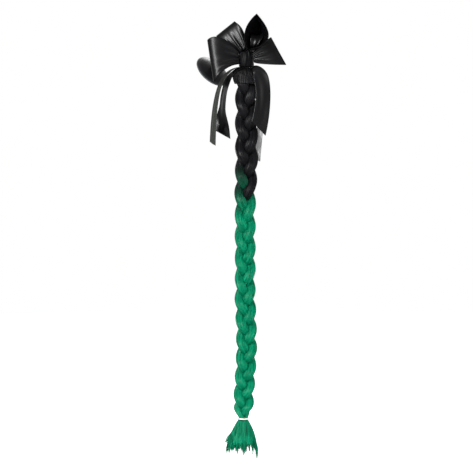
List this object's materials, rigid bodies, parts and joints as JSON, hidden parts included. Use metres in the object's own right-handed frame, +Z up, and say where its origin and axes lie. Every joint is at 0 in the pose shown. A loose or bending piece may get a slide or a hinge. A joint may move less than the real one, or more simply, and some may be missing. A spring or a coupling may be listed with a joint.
{
  "type": "costume hair plait",
  "caption": "Long plait of black-to-green costume hair that hangs from a suction cup, with a black satin bow and tails at its neck.",
  "frame": {"origin": "centre of the suction cup's lip, in the plane of the face that seals", "axes": "+Z up along the hanging plait, -Y away from the surface that the cup sticks to, +X to the right when it is seen from the -Y side"},
  "size_m": [0.087, 0.1461, 0.6692],
  "materials": {
    "cup_plastic": "soft glossy PVC, smoke black with a pale rim",
    "cord": "matt round cord",
    "band_rubber": "matt",
    "black_hair": "synthetic hair, silky",
    "ombre_hair": "synthetic hair, silky, black at the top and green below",
    "green_hair": "synthetic hair, silky",
    "clear_elastic": "clear to milky, smooth",
    "black_satin": "satin with a soft sheen",
    "sheer_ribbon": "sheer organza with woven edges"
  },
  "bodies": {
    "cup": {"suction_cup": "cup_plastic"},
    "cord_loop": {"root_loop": "cord"},
    "hair": {"hair_bundle": "black_hair", "root_band": "band_rubber", "lock_left": "ombre_hair", "lock_middle": "ombre_hair", "lock_right": "ombre_hair", "end_elastic": "clear_elastic", "tuft": "green_hair"},
    "bow": {"neck_wrap": "black_satin", "bow_knot": "black_satin", "loop_upper_left": "black_satin", "loop_lower_left": "black_satin", "loop_upper_right": "black_satin", "loop_lower_right": "black_satin"},
    "left_outer_tail": {"tail_left_outer": "black_satin"},
    "left_inner_tail": {"tail_left_inner": "black_satin"},
    "right_satin_tail": {"tail_right_satin": "black_satin"},
    "right_sheer_tail": {"tail_right_sheer": "sheer_ribbon"}
  },
  "joints": [
    {"name": "cup_swivel", "type": "hinge", "parent": "cup", "child": "cord_loop", "pos_m": [0, -0.01745, 0.01339], "axis": [0, -0.7934, 0.6088], "range_deg": [-75, 75]},
    {"name": "root_swing", "type": "hinge", "parent": "cord_loop", "child": "hair", "pos_m": [0, -0.01745, 0.01339], "axis": [-1, 0, 0], "range_deg": [0, 45]},
    {"name": "bow_turn", "type": "hinge", "parent": "hair", "child": "bow", "pos_m": [0, -0.075, 0.014], "axis": [0, 0, 1], "range_deg": [-8, 25]},
    {"name": "left_outer_swing", "type": "hinge", "parent": "bow", "child": "left_outer_tail", "pos_m": [-0.01465, -0.07865, 0.0028], "axis": [-0.6947, -0.7193, 0], "range_deg": [-35, 0]},
    {"name": "left_inner_swing", "type": "hinge", "parent": "bow", "child": "left_inner_tail", "pos_m": [-0.01258, -0.08371, 0.0012], "axis": [-0.6947, -0.7193, 0], "range_deg": [-16, 0]},
    {"name": "right_satin_swing", "type": "hinge", "parent": "bow", "child": "right_satin_tail", "pos_m": [-0.00855, -0.09177, 0.002], "axis": [-0.6947, -0.7193, 0], "range_deg": [0, 30]},
    {"name": "right_sheer_swing", "type": "hinge", "parent": "bow", "child": "right_sheer_tail", "pos_m": [-0.00686, -0.08714, 0.0015], "axis": [-0.6947, -0.7193, 0], "range_deg": [0, 30]}
  ]
}
